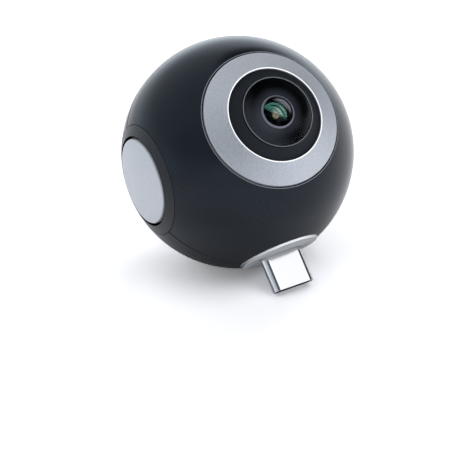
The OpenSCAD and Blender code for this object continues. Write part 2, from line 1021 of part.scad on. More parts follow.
module plug_carrier() {
    color("#1f2022") difference() {
        block(carrier_w, carrier_t, base_top, base_top + carrier_h);
        stadium(plug_w + 2 * push, plug_t + 2 * push, base_top - eps, plug_root + push);
        block(tongue_w + 2 * push, tongue_t + 2 * push, base_top, base_top + carrier_h + eps);
    }
}

front_shell();
rear_shell();
front_trim_ring();
rear_trim_ring();
front_bezel();
rear_bezel();
front_retaining_ring();
rear_retaining_ring();
front_outer_lens();
rear_outer_lens();
front_inner_lens();
rear_inner_lens();
front_lens_spacer();
rear_lens_spacer();
front_aperture_stop();
rear_aperture_stop();
front_relay_lens();
rear_relay_lens();
front_lens_barrel();
rear_lens_barrel();
front_lens_holder();
rear_lens_holder();
front_ir_filter();
rear_ir_filter();
front_image_sensor();
rear_image_sensor();
front_sensor_board();
rear_sensor_board();
front_sensor_flex();
rear_sensor_flex();
front_module_screws();
rear_module_screws();
button_cap();
button_clip();
button_collar();
side_plate();
side_collar();
collar_screws();
side_switch();
switch_plunger();
main_board();
image_processor();
thermal_pad();
shield_can();
memory_chip();
power_coil();
capacitors();
flex_sockets();
board_screws();
base_plate();
plug_shell();
plug_insulator();
plug_contacts();
plug_carrier();
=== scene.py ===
# %% [markdown]
# A ball shaped 360 degree camera
#
# The real thing is a black plastic ball with a fisheye lens at the front, another at the back, a silver
# push button on its side and a flat plug that holds it on a phone. This lesson dresses its CAD model.
# The CAD pieces come in as a fixed frame, and each new piece is made where the frame says. Pieces that
# nobody sees up close keep their CAD shape and only get a finish.

# %% Load the frame
from math import asin, cos, hypot, pi, radians, sin, sqrt, tau

import bmesh
import bpy
from mathutils import Matrix, Vector


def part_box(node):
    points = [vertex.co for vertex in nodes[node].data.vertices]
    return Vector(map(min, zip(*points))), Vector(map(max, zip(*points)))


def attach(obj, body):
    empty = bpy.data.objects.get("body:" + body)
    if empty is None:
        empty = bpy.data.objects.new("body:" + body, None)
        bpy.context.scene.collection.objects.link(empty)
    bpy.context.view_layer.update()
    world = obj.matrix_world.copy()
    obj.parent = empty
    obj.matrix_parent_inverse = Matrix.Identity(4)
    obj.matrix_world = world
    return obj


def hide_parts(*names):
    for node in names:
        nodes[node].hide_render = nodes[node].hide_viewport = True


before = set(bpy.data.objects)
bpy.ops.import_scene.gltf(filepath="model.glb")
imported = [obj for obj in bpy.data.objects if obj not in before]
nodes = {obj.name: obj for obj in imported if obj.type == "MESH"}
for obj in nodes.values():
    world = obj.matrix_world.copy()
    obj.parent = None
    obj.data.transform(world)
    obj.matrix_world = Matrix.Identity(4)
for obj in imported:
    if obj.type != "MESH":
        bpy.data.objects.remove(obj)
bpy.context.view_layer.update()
scene = bpy.context.scene

# %% [markdown]
# The axes of the ball
#
# Everything round on this camera turns about an axis through the ball's centre: the lenses about Y, the
# button about X, the plug about Z. Each piece could be drawn where it lies, with its own axis in every
# formula. It is easier to draw it in millimetres with its axis upright, and to let one matrix per side
# carry it to its place. The same matrix, turned round, measures the CAD pieces.

# %% Places
MM = 0.001
BODY = "camera_body"
BUTTON = "button"

thin_low, thin_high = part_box("front_retaining_ring")
BALL = Vector((0, 0, (thin_low.z + thin_high.z) / 2))
BALL_R = (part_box("front_shell")[1].z - BALL.z) / MM


def facing(angle, axis):
    """The place of a piece that looks out of the ball, turned from upright about one axis."""
    return Matrix.Translation(BALL) @ Matrix.Rotation(radians(angle), 4, axis) @ Matrix.Scale(MM, 4)


SIDES = {"front": facing(90, "X"), "rear": facing(-90, "X")}
LEFT = facing(-90, "Y")
RIGHT = facing(90, "Y")
UPRIGHT = Matrix.Scale(MM, 4)
print(f"ball: radius {BALL_R:.2f} mm, centre {BALL.z / MM:.2f} mm above the base plate's face")

# %% Measures
# Corners of CAD pieces within this many millimetres count as being in one place
NEAR = 0.02


def corners(node, place):
    """The (radius, height) of each corner of a CAD piece about its own axis, in millimetres."""
    local = place.inverted()
    points = [local @ v.co for v in nodes[node].data.vertices]
    return [(hypot(p.x, p.y), p.z) for p in points]


def reach(node, place):
    """A CAD piece's smallest and largest radius, then its lowest and highest point."""
    radii, heights = zip(*corners(node, place))
    return min(radii), max(radii), min(heights), max(heights)


def heights_at(node, place, radius):
    """The lowest and highest corner of a CAD piece at one radius."""
    found = [h for r, h in corners(node, place) if abs(r - radius) < NEAR]
    return min(found), max(found)


print(f"trim ring: {2 * reach('front_trim_ring', SIDES['front'])[1]:.1f} mm across")

# %% [markdown]
# The camera
#
# The photograph was taken from below the lens's height, with the ball rolled back on its plug. A camera
# could be turned by hand until it looks right. Here the direction and the roll come from the outlines of
# the ball and its rings, so the ellipses fall on those of the photograph. A long lens keeps them true,
# and the camera is aimed past the ball so that the ball sits high in the picture.

# %% Camera
# The picture's side, the ball's middle and the ball's radius in it, in pixels
IMAGE = 452
BALL_PIXEL = (237.6, 152.2)
BALL_PIXELS = 116.4
# From the ball to the camera, the way that is up in the picture, and the distance in radii of the ball
VIEW = Vector((-0.4302, -0.8799, -0.2016)).normalized()
VIEW_UP = Vector((0.2642, -0.3363, 0.9039))
DISTANCE = 15.0
SENSOR = 36.0

focal = BALL_PIXELS * sqrt(DISTANCE**2 - 1)
view_right = VIEW_UP.cross(VIEW).normalized()
view_up = VIEW.cross(view_right)
at_ball = Matrix((view_right, view_up, VIEW)).transposed().to_quaternion()
ahead = Vector((0, 0, -1))
towards_ball = Vector((BALL_PIXEL[0] - IMAGE / 2, IMAGE / 2 - BALL_PIXEL[1], -focal)).normalized()

camera = bpy.data.objects.new("photo_camera", bpy.data.cameras.new("photo_camera"))
camera.data.sensor_width = SENSOR
camera.data.lens = focal * SENSOR / IMAGE
camera.data.clip_start = 0.01
camera.location = BALL + VIEW * DISTANCE * BALL_R * MM
camera.rotation_mode = "QUATERNION"
camera.rotation_quaternion = at_ball @ towards_ball.rotation_difference(ahead)
scene.collection.objects.link(camera)
scene.camera = camera
print(f"camera: {camera.data.lens:.0f} mm lens at {DISTANCE * BALL_R:.0f} mm")

# %% [markdown]
# Colours and nodes
#
# Colours are written as the sRGB hex values that a picture shows, and Blender's shaders want linear light,
# so one function turns them. Materials could be wired by hand, node after node, in many lines. Another
# function adds a node with its settings and links, which is all that a material here needs. A Mix node has
# sockets for every kind of value: 0 is its share, 2 and 3 take numbers, and 6 and 7 take colours.

# %% Helpers for materials


def linear(code):
    """A hex colour as the linear values that a shader takes."""
    parts = [int(code[i:i + 2], 16) / 255 for i in (1, 3, 5)]
    return [c / 12.92 if c <= 0.04045 else ((c + 0.055) / 1.055) ** 2.4 for c in parts] + [1.0]


def add(tree, kind, inputs=None, **settings):
    """Add one node: its own settings, and each input as a value or as the socket that feeds it."""
    node = tree.nodes.new("ShaderNode" + kind)
    for name, value in settings.items():
        setattr(node, name, value)
    for name, value in (inputs or {}).items():
        if isinstance(value, bpy.types.NodeSocket):
            tree.links.new(value, node.inputs[name])
        else:
            node.inputs[name].default_value = value
    return node


def blank(name):
    """A new material with an empty node tree."""
    material = bpy.data.materials.new(name)
    material.use_nodes = True
    material.node_tree.nodes.clear()
    return material, material.node_tree


def per_mm(size):
    """The scale of a texture whose features are that many millimetres wide."""
    return 1 / (size * MM)


WHITE = linear("#ffffff")
print("a mid grey of #808080 is", round(linear("#808080")[0], 3), "in linear light")

# %% [markdown]
# The table
#
# The ball rests on a white table with its plug's edge touching. The model stands upright in its own frame,
# so the table is tilted: a disc that touches the ball from below. Its back is see-through, so that no side
# view is blocked. More lamps would make the table white and bleach the ball as well. So the table is paler
# to the eye and in mirrors than the light that it gives back, and the eye sees a little light of its own
# on top, which together bring it to white and leave the shadow. In mirrors a painted shadow darkens it
# close to where the ball touches, as a real ball mirrors its own shadow there.

# %% Table finish
FLOOR_UP = Vector((0, -0.648, 0.762)).normalized()
CONTACT = BALL - FLOOR_UP * BALL_R * MM
FLOOR_COLOUR = "#f2f3f7"
FLOOR_GLOW = 0.10
# How much paler it is to the eye, in mirrors, and in mirrors close to the ball, where a painted shadow
# darkens it
FLOOR_LIFT = 2.0
FLOOR_MIRROR = 1.7
FLOOR_NEAR = 0.45
# The painted shadow in mirrors is even up to the first distance from the ball's contact and gone at the
# second
DARK_EVEN = 10 * MM
DARK_ENDS = 32 * MM


def white_table():
    """A pale matt table top: white where the light falls, with a soft cool shadow."""
    material, tree = blank("white_table")
    ray = add(tree, "LightPath")
    place = add(tree, "TexCoord")
    gap = add(tree, "VectorMath", {0: place.outputs["Object"], 1: CONTACT}, operation="DISTANCE")
    # A painted shadow: in mirrors the table is darker close to where the ball touches
    mirror = add(tree, "MapRange", {
        "Value": gap.outputs["Value"], "From Min": DARK_EVEN, "From Max": DARK_ENDS,
        "To Min": FLOOR_NEAR, "To Max": FLOOR_MIRROR,
    }, interpolation_type="SMOOTHSTEP")
    mirrored = add(tree, "Math", {
        0: ray.outputs["Is Glossy Ray"], 1: ray.outputs["Is Transmission Ray"],
    }, operation="MAXIMUM")
    lift = add(tree, "Mix", {0: mirrored.outputs[0], 2: 1.0, 3: mirror.outputs[0]})
    lift = add(tree, "Mix", {0: ray.outputs["Is Camera Ray"], 2: lift.outputs[0], 3: FLOOR_LIFT})
    pale = add(tree, "VectorMath", {
        0: linear(FLOOR_COLOUR)[:3], "Scale": lift.outputs[0],
    }, operation="SCALE")
    matt = add(tree, "BsdfDiffuse", {"Color": pale.outputs[0]})
    glow = add(tree, "Math", {0: ray.outputs["Is Camera Ray"], 1: FLOOR_GLOW}, operation="MULTIPLY")
    light = add(tree, "Emission", {"Color": WHITE, "Strength": glow.outputs[0]})
    face = add(tree, "AddShader", {0: matt.outputs[0], 1: light.outputs[0]})
    side = add(tree, "NewGeometry")
    clear = add(tree, "BsdfTransparent")
    top = add(tree, "MixShader", {0: side.outputs["Backfacing"], 1: face.outputs[0], 2: clear.outputs[0]})
    add(tree, "OutputMaterial", {"Surface": top.outputs[0]})
    print("table finish:", len(tree.nodes), "nodes")
    return material


# %% Table top
FLOOR_RADIUS = 0.5
CIRCLE_STEPS = 96

shape = bmesh.new()
bmesh.ops.create_circle(shape, cap_ends=True, segments=CIRCLE_STEPS, radius=FLOOR_RADIUS)
tilt = FLOOR_UP.to_track_quat("Z", "Y").to_matrix().to_4x4()
bmesh.ops.transform(shape, matrix=Matrix.Translation(CONTACT) @ tilt, verts=shape.verts)
floor = bpy.data.objects.new("table_top", bpy.data.meshes.new("table_top"))
shape.to_mesh(floor.data)
shape.free()
floor.data.materials.append(white_table())
scene.collection.objects.link(floor)
print("table normal", [round(c, 3) for c in floor.data.polygons[0].normal])

# %% [markdown]
# Light
#
# Shiny things are photographed in a white tent. The black ball shows it: its edges mirror the pale tent and
# the table, most of all where the eye meets the surface at a glancing angle. The tent could be a mesh, but
# a world that changes with direction is lighter and can't get in the way of a view. It is white to the eye,
# and as light a little below white, palest near the table's horizon. Patches in it are cards and openings:
# without the black card, the dome of glass would look milky. In mirrors the tent has a cool tint, and the
# light that it gives stays white. Two square lamps do the rest: a key from behind on the right, which no
# mirror shows, and a large one in front.

# %% World
SKY_COLOUR = "#ebf5ff"
# Brightness high up and at the horizon, and the rises above the table between which it changes
TENT = 0.72
HORIZON = 1.1
TENT_STARTS = 0.02
TENT_FULL = 0.40
# Each patch: its direction, the degrees to its outer edge and to its even part, and its brightness
PATCHES = {
    "black_card": ((0.65, -0.50, 0.57), 50, 38, 0.05),
    "grey_card": ((-0.90, -0.41, 0.11), 30, 12, 0.80),
    "dark_opening": ((-0.40, -0.89, -0.05), 27, 13, 0.12),
    "bright_wall": ((0.65, 0.52, 0.52), 45, 15, 1.55),
}

world = bpy.data.worlds.new("studio")
world.use_nodes = True
scene.world = world
tree = world.node_tree
tree.nodes.clear()
ray = add(tree, "LightPath")
away = add(tree, "TexCoord")
rise = add(tree, "VectorMath", {0: away.outputs["Generated"], 1: FLOOR_UP}, operation="DOT_PRODUCT")
lit = add(tree, "MapRange", {
    "Value": rise.outputs["Value"], "From Min": TENT_STARTS, "From Max": TENT_FULL,
    "To Min": HORIZON, "To Max": TENT,
}, interpolation_type="SMOOTHSTEP")
for direction, edge, core, brightness in PATCHES.values():
    middle = Vector(direction).normalized()
    near = add(tree, "VectorMath", {0: away.outputs["Generated"], 1: middle}, operation="DOT_PRODUCT")
    patch = add(tree, "MapRange", {
        "Value": near.outputs["Value"], "From Min": cos(radians(edge)), "From Max": cos(radians(core)),
        "To Min": 1.0, "To Max": brightness,
    }, interpolation_type="SMOOTHSTEP")
    lit = add(tree, "Math", {0: lit.outputs[0], 1: patch.outputs[0]}, operation="MULTIPLY")
strength = add(tree, "Mix", {0: ray.outputs["Is Camera Ray"], 2: lit.outputs[0], 3: 1.0})
tint = add(tree, "Mix", {
    0: ray.outputs["Is Glossy Ray"], 6: WHITE, 7: linear(SKY_COLOUR),
}, data_type="RGBA")
sky = add(tree, "Background", {"Color": tint.outputs[2], "Strength": strength.outputs[0]})
add(tree, "OutputWorld", {"Surface": sky.outputs[0]})
print(f"tent: {TENT} above, {HORIZON} at the horizon, with", ", ".join(PATCHES))

# %% Lamps


def softbox(name, direction, distance, size, brightness, mirrored=True):
    """A square lamp that looks at the ball. Brightness is what a mirror shows of it, where 1 is white."""
    lamp = bpy.data.lights.new(name, "AREA")
    lamp.size = size
    lamp.energy = brightness * pi * size**2
    box = bpy.data.objects.new(name, lamp)
    towards = Vector(direction).normalized()
    box.location = BALL + towards * distance
    box.rotation_euler = towards.to_track_quat("Z", "Y").to_euler()
    box.visible_glossy = mirrored
    box.visible_transmission = mirrored
    scene.collection.objects.link(box)
    print(f"{name}: {size} m square, brightness {brightness}")


softbox(
    "key_behind_right", direction=(0.62, -0.10, 0.76), distance=0.60, size=0.32, brightness=3.0,
    mirrored=False,
)
softbox("card_front", direction=(0.36, -0.91, 0.17), distance=0.55, size=0.40, brightness=1.22)

# %% [markdown]
# Finishes with a fine grain
#
# Most of what shows is plastic or metal with an even, fine grain: blasted and anodised aluminium, painted
# ABS, plated steel. A picture of each could be wrapped round its piece, but noise needs no picture and has
# no seams. So one recipe serves them: noise moves the colour between two values, moves the roughness a
# little and raises tiny bumps. The real grains are a few hundredths of a millimetre wide, too fine to show
# in this picture, so each is drawn as coarse as it needs to show, from 0.1 mm up.

# %% The recipe
# Mapping settings that lay a pattern flat across an axis through the ball's centre, in millimetres
ABOUT = {
    "X": {"Location": -BALL / MM, "Scale": (0, 1 / MM, 1 / MM)},
    "Y": {"Location": -BALL / MM, "Scale": (1 / MM, 0, 1 / MM)},
}
# Noise gathers round its middle, so this part of its range is stretched to the whole
NOISE_LOW = 0.3
NOISE_HIGH = 0.7
# The gloss that Blender's shader has by itself
PLAIN_GLOSS = 0.5


def grained(name, dark, light, grain, roughness, spread=0.04, relief=0.0, edge=None, painted_sheen=None, **sockets):
    """A finish whose grain, in millimetres, moves its colour, its roughness and its surface.

    An edge is a painted highlight or a painted shadow, a dull line round an axis: the axis, the line's
    middle radius, half its width and its colour.
    A painted sheen is the way in which a spun face is painted paler, a painted highlight to both sides of
    the lens axis, and its share.
    """
    material, tree = blank(name)
    gloss = sockets.pop("Specular_IOR_Level", PLAIN_GLOSS)
    place = add(tree, "TexCoord")
    noise = add(tree, "TexNoise", {"Vector": place.outputs["Object"], "Scale": per_mm(grain), "Detail": 3.0})
    level = add(tree, "MapRange", {
        "Value": noise.outputs["Fac"], "From Min": NOISE_LOW, "From Max": NOISE_HIGH,
    })
    tone = level
    # A painted sheen: the spun face is painted paler to both sides of the lens axis, as a painted highlight
    if painted_sheen:
        way, share = painted_sheen
        flat = add(tree, "Mapping", {"Vector": place.outputs["Object"], **ABOUT["Y"]})
        turn = add(tree, "VectorMath", {0: flat.outputs[0]}, operation="NORMALIZE")
        along = add(tree, "VectorMath", {0: turn.outputs[0], 1: way}, operation="DOT_PRODUCT")
        pale = add(tree, "Math", {0: along.outputs["Value"], 1: 2.0}, operation="POWER")
        tone = add(tree, "Mix", {0: share, 2: level.outputs[0], 3: pale.outputs[0]})
    colour = add(tree, "Mix", {0: tone.outputs[0], 6: linear(dark), 7: linear(light)}, data_type="RGBA")
    # A painted line, either a painted highlight or a painted shadow, with no gloss on it
    if edge:
        axis, middle, half, hue = edge
        flat = add(tree, "Mapping", {"Vector": place.outputs["Object"], **ABOUT[axis]})
        away = add(tree, "VectorMath", {0: flat.outputs[0]}, operation="LENGTH")
        line = add(tree, "Math", {0: away.outputs["Value"], 1: middle, 2: half}, operation="COMPARE")
        colour = add(tree, "Mix", {
            0: line.outputs[0], 6: colour.outputs[2], 7: linear(hue),
        }, data_type="RGBA")
        gloss = add(tree, "Mix", {0: line.outputs[0], 2: gloss, 3: 0.0}).outputs[0]
    rough = add(tree, "MapRange", {
        "Value": level.outputs[0], "To Min": roughness - spread, "To Max": roughness + spread,
    })
    bumps = add(tree, "Bump", {"Height": level.outputs[0], "Distance": relief * MM})
    shader = add(tree, "BsdfPrincipled", {
        "Base Color": colour.outputs[2], "Roughness": rough.outputs[0], "Normal": bumps.outputs[0],
        "Specular IOR Level": gloss,
    })
    for socket, value in sockets.items():
        shader.inputs[socket.replace("_", " ")].default_value = value
    add(tree, "OutputMaterial", {"Surface": shader.outputs[0]})
    print(f"{name}: grain {grain} mm, roughness {roughness}")
    return material


# %% Plastics
# The painted highlight on the shell, a pale line: its distance from the trim ring and its width, in
# millimetres
RIM_GAP = 0.27
RIM_HIGHLIGHT = 0.13
RIM_HIGHLIGHT_R = reach("front_trim_ring", SIDES["front"])[1] + RIM_GAP + RIM_HIGHLIGHT / 2
# The width of the painted shadow of the gap, a dark line on the collar round a side disc
DISC_SHADE = 0.45
DISC_SHADE_R = reach("button_cap", LEFT)[1] + DISC_SHADE / 2

# Moulded ABS under a soft satin paint: nearly black and pale at a glancing angle, with a painted highlight
# in a thin pale line where its edge stands round each trim ring
painted_abs = grained(
    "painted_abs", "#0f1318", "#14181e", grain=0.20, roughness=0.15, spread=0.03, relief=0.002,
    edge=("Y", RIM_HIGHLIGHT_R, RIM_HIGHLIGHT / 2, "#979ca5"),
    Specular_IOR_Level=0.32, Specular_Tint=linear("#dcecff"),
)
# Bare moulded ABS: the collars, a shade paler than the paint, with a painted shadow of the gap in a black
# line round the disc
moulded_abs = grained(
    "moulded_abs", "#171c22", "#1e242b", grain=0.18, roughness=0.30, relief=0.003,
    edge=("X", DISC_SHADE_R, DISC_SHADE / 2, "#040506"), Specular_IOR_Level=0.32,
)
# The same plastic from an etched mould: the bezels, which have to be dull
etched_abs = grained(
    "etched_abs", "#141a21", "#1a2129", grain=0.16, roughness=0.55, relief=0.003, Specular_IOR_Level=0.25
)

# %% Metals
# The way in which the painted sheen makes a trim ring palest, and the share of its tone that comes from it
RING_SHEEN_WAY = Vector((-0.34, 0, 0.94))
RING_SHEEN_SHARE = 0.6

# Blasted and clear anodised aluminium: pale cool grey with a fine sparkle. It was spun before, and the light
# that spun metal throws in two soft fans is a painted sheen
blasted_aluminium = grained(
    "blasted_aluminium", "#afb5be", "#dde3ec", grain=0.28, roughness=0.50, spread=0.06, relief=0.006,
    painted_sheen=(RING_SHEEN_WAY, RING_SHEEN_SHARE), Metallic=0.35,
)
# The side discs: the same metal, blasted finer and paler
fine_aluminium = grained(
    "fine_aluminium", "#c5cad2", "#d7dce3", grain=0.18, roughness=0.45, spread=0.05, relief=0.004,
    Metallic=0.5,
)
# The same metal, cut bright on its edges by a diamond tool: a thin white line
bright_aluminium = grained(
    "bright_aluminium", "#f4f7fb", "#ffffff", grain=0.3, roughness=0.20, spread=0.03, Metallic=1.0
)
# The base plate, blasted dull: it shows light and shadow, and no reflections
dull_aluminium = grained(
    "dull_aluminium", "#c6cace", "#dce0e4", grain=0.22, roughness=0.60, spread=0.05, relief=0.006,
    Specular_IOR_Level=0.0,
)
# A turned aluminium ring, anodised black and then cut on its top, which leaves a grey line
black_aluminium = grained(
    "black_aluminium", "#15181c", "#1c2024", grain=0.2, roughness=0.5, Specular_IOR_Level=0.25
)
cut_aluminium = grained("cut_aluminium", "#94979e", "#a6a9b0", grain=0.2, roughness=0.35, Metallic=0.6)
# Bright nickel over drawn steel: nearly a mirror
bright_nickel = grained(
    "bright_nickel", "#e0e1e4", "#e8e9eb", grain=0.15, roughness=0.13, spread=0.02, Metallic=1.0
)

# %% [markdown]
# Turning
#
# The trim ring, the bezel, the retaining ring, the glass and the side discs are all round, as if from a
# lathe. They could be cylinders cut out of each other, but such cuts leave ragged faces. Here an outline is
# drawn once, as radius and height, sharp corners are rounded on that outline, and spin carries it round. A
# rounded edge is what gives a metal ring its thin line of light.

# %% Helpers for turned pieces
STEPS = 192
ROUND_STEPS = 4
# Points closer than this, in millimetres, are merged where the spin closes
SEAM = 1e-5


def turned(outline, rounded=(), by=0.0, closed=True):
    """Spin an outline of (radius, height) points round its axis, with the numbered corners rounded."""
    shape = bmesh.new()
    wire = [shape.verts.new((r, 0, h)) for r, h in outline]
    ends = wire[1:] + wire[:1] if closed else wire[1:]
    for pair in zip(wire, ends):
        shape.edges.new(pair)
    if rounded:
        bmesh.ops.bevel(
            shape, geom=[wire[i] for i in rounded], offset=by, offset_type="OFFSET", segments=ROUND_STEPS,
            profile=0.5, affect="VERTICES", material=-1,
        )
    bmesh.ops.spin(
        shape, geom=shape.verts[:] + shape.edges[:], axis=(0, 0, 1), angle=tau, steps=STEPS, use_merge=True
    )
    bmesh.ops.remove_doubles(shape, verts=shape.verts, dist=SEAM)
    bmesh.ops.recalc_face_normals(shape, faces=shape.faces)
    return shape


def arc(radius, centre, start, end, steps):
    """Points on a circle about a point of the axis, from one distance from the axis to another."""
    first, last = asin(start / radius), asin(end / radius)
    angles = [first + (last - first) * i / steps for i in range(steps + 1)]
    return [(radius * sin(a), centre + radius * cos(a)) for a in angles]


print("a turned piece has", STEPS, "steps round its axis")

# %% Helpers for every new piece
# Edges that turn by more than this stay sharp in the shading
SHARP = radians(32)


def paint(shape, slot, wanted):
    """Give a material slot to the faces whose middle has a wanted (radius, height)."""
    for face in shape.faces:
        middle = face.calc_center_median()
        if wanted(hypot(middle.x, middle.y), middle.z):
            face.material_index = slot


def finished(shape, name, body, node, place, materials):
    """Put a shape in its place as a smooth piece that rides on a body and stands for a CAD node."""
    bmesh.ops.transform(shape, matrix=place, verts=shape.verts)
    piece = bpy.data.objects.new(name, bpy.data.meshes.new(name))
    shape.to_mesh(piece.data)
    shape.free()
    piece.data.shade_smooth()
    piece.data.set_sharp_from_angle(angle=SHARP)
    for material in materials:
        piece.data.materials.append(material)
    scene.collection.objects.link(piece)
    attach(piece, body)
    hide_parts(node)
    print(f"{name}: {len(piece.data.polygons)} faces, stands for {node}")
    return piece


# %% [markdown]
# Trim rings
#
# The silver ring round each lens is a cone that follows the ball. Its face is blasted, and its outer edge
# is slightly broken so that it doesn't cut a finger. Its inner edge is cut to a narrow flat and left bright.
# A chamfer there would be bright on one side only. The flat faces straight ahead, so it shows as one bright
# line all round.

# %% Trim rings
TRIM_LAND = 0.25
TRIM_EDGE = 0.12
TRIM_ROUND = 0.04

for side, place in SIDES.items():
    node = f"{side}_trim_ring"
    bore, rim, _, high = reach(node, place)
    bore_low = heights_at(node, place, bore)[0]
    rim_low, rim_high = heights_at(node, place, rim)
    edge_high = heights_at(node, place, rim - TRIM_EDGE)[1]
    ring = turned(
        [(bore, bore_low), (rim, rim_low), (rim, rim_high), (rim - TRIM_EDGE, edge_high),
         (bore + TRIM_LAND, high), (bore, high)],
        rounded=(2, 3, 4, 5), by=TRIM_ROUND,
    )
    paint(ring, 1, lambda r, h: r < bore + TRIM_LAND - NEAR and h > high - TRIM_ROUND - NEAR)
    piece = finished(ring, f"{side}_satin_ring", BODY, node, place, [blasted_aluminium, bright_aluminium])

# %% [markdown]
# Bezels
#
# Between the silver ring and the glass lies a black cone with fine ripples round it, which keep stray light
# out of the lens. Bumps in the material could give them, but they would vanish from the outline and from
# the exported mesh. So the ripples are in the outline that is spun: a cosine along the cone.

# %% Bezels
RIPPLES = 7
RIPPLE_DEPTH = 0.06
RIPPLE_LAND = 0.2
RIPPLE_POINTS = 8

for side, place in SIDES.items():
    node = f"{side}_bezel"
    bore, rim, low, _ = reach(node, place)
    rim_high = heights_at(node, place, rim)[1]
    bore_high = heights_at(node, place, bore)[1]
    outline = [(bore, low), (rim, low), (rim, rim_high)]
    width = rim - bore - 2 * RIPPLE_LAND
    for i in range(RIPPLES * RIPPLE_POINTS + 1):
        turn = i / RIPPLE_POINTS
        r = rim - RIPPLE_LAND - width * turn / RIPPLES
        cone = rim_high + (rim - r) * (bore_high - rim_high) / (rim - bore)
        outline.append((r, cone - RIPPLE_DEPTH * (1 - cos(tau * turn)) / 2))
    outline.append((bore, bore_high))
    piece = finished(turned(outline), f"{side}_rippled_bezel", BODY, node, place, [etched_abs])

# %% [markdown]
# Retaining rings
#
# A thin turned ring holds the glass. It is black, apart from its top, which is cut after the anodising and
# shows as a fine grey line. One material all over would be too pale on its sides, so the flat between its
# two rounded edges gets its own.

# %% Retaining rings
RING_ROUND = 0.07

for side, place in SIDES.items():
    node = f"{side}_retaining_ring"
    bore, rim, low, high = reach(node, place)
    ring = turned([(bore, low), (rim, low), (rim, high), (bore, high)], rounded=(2, 3), by=RING_ROUND)
    paint(ring, 1, lambda r, h: bore + RING_ROUND < r < rim - RING_ROUND and h > high - NEAR)
    piece = finished(ring, f"{side}_thin_ring", BODY, node, place, [black_aluminium, cut_aluminium])

# %% [markdown]
# The front glass
#
# A fisheye's first lens is a steep dome with a small deep hollow in its back. The back round the hollow is
# inked black, and the hollow's rim is ground matt, which shows from the front as a pale ring round the
# pupil. All that could be painted on a black dome, but only glass makes the pupil swell and wander as the
# view turns. So it is solid glass with a coating, which bends the light but hardly mirrors the room. The
# lenses behind throw faint broken rings of light on one side of the hollow, and these are painted
# reflections in its glass.

# %% Painted reflections in the hollow
# The way in which the painted reflections of the lenses behind lie across the hollow
PAINTED_GHOSTS_WAY = Vector((0.85, 0, 0.53))
# How far out that way, in millimetres, the painted reflections start and are full, and where they thin and
# end at the rim
PAINTED_GHOSTS_STARTS = 0.7
PAINTED_GHOSTS_FULL = 1.7
PAINTED_GHOSTS_THINS = 1.9
PAINTED_GHOSTS_ENDS = 2.3
# The spacing of its rings in millimetres, and how much is left between them
PAINTED_GHOSTS_RINGS = 0.5236
PAINTED_GHOSTS_LEAST = 0.25
# A wave texture of scale 1 repeats after this length
WAVE = tau / 20


def painted_ghost_share(tree, place):
    """How much of the glass is painted reflection: rings on one side of the lens axis, inside the hollow's
    rim.
    """
    flat = add(tree, "Mapping", {"Vector": place.outputs["Object"], **ABOUT["Y"]})
    aside = add(tree, "VectorMath", {0: flat.outputs[0], 1: PAINTED_GHOSTS_WAY}, operation="DOT_PRODUCT")
    part = add(tree, "MapRange", {
        "Value": aside.outputs["Value"], "From Min": PAINTED_GHOSTS_STARTS, "From Max": PAINTED_GHOSTS_FULL,
    }, interpolation_type="SMOOTHSTEP")
    away = add(tree, "VectorMath", {0: flat.outputs[0]}, operation="LENGTH")
    inside = add(tree, "MapRange", {
        "Value": away.outputs["Value"], "From Min": PAINTED_GHOSTS_THINS, "From Max": PAINTED_GHOSTS_ENDS,
        "To Min": 1.0, "To Max": 0.0,
    })
    rings = add(tree, "TexWave", {
        "Vector": flat.outputs[0], "Scale": WAVE / PAINTED_GHOSTS_RINGS, "Distortion": 2.0, "Detail": 2.0,
    }, wave_type="RINGS", rings_direction="SPHERICAL")
    broken = add(tree, "MapRange", {"Value": rings.outputs["Fac"], "To Min": PAINTED_GHOSTS_LEAST})
    share = add(tree, "Math", {0: part.outputs[0], 1: inside.outputs[0]}, operation="MULTIPLY")
    return add(tree, "Math", {0: share.outputs[0], 1: broken.outputs[0]}, operation="MULTIPLY")


print(f"haze: a ring every {PAINTED_GHOSTS_RINGS:.2f} mm")

# %% Coated glass
GLASS_IOR = 1.52
# The width of a wipe mark in millimetres
WIPE_MARKS = 3.0


def coated_glass(name, tint, sheen, painted_ghosts=None):
    """Polished glass with a coating: the tint is what little it mirrors. Faint wipe marks vary its gloss."""
    material, tree = blank(name)
    place = add(tree, "TexCoord")
    marks = add(tree, "TexNoise", {
        "Vector": place.outputs["Object"], "Scale": per_mm(WIPE_MARKS), "Detail": 2.0,
    })
    rough = add(tree, "MapRange", {"Value": marks.outputs["Fac"], "To Max": sheen})
    shader = add(tree, "BsdfPrincipled", {
        "Base Color": WHITE, "Roughness": rough.outputs[0], "IOR": GLASS_IOR,
        "Transmission Weight": 1.0, "Specular Tint": linear(tint),
    })
    # Painted reflections: on one side of the hollow the glass turns to a pale film in the colour of the
    # ghosts
    if painted_ghosts:
        share = painted_ghost_share(tree, place)
        film = add(tree, "Mix", {0: share.outputs[0], 6: WHITE, 7: linear(painted_ghosts)}, data_type="RGBA")
        clear = add(tree, "Math", {0: 1.0, 1: share.outputs[0]}, operation="SUBTRACT")
        tree.links.new(film.outputs[2], shader.inputs["Base Color"])
        tree.links.new(clear.outputs[0], shader.inputs["Transmission Weight"])
    add(tree, "OutputMaterial", {"Surface": shader.outputs[0]})
    print(f"{name}: mirrors {tint}")
    return material


# Optical glass with a dark coating: clear, with only a faint sheen
dome_glass = coated_glass("coated_glass", tint="#3f434b", sheen=0.02)
# The same glass in the hollow, with painted reflections of the lenses behind on it
hollow_glass = coated_glass("hollow_glass", tint="#14161a", sheen=0.01, painted_ghosts="#c8d8e0")
# The hollow's rim, ground matt: a soft lilac grey
ground_glass = grained("ground_glass", "#a6a4b4", "#bcbac9", grain=0.1, roughness=0.6, relief=0.004)

# %% Lens ink
# The way in which the ink is painted lighter, as light entering the dome would light it
PAINTED_LIT_SIDE = Vector((-0.906, 0, -0.423))
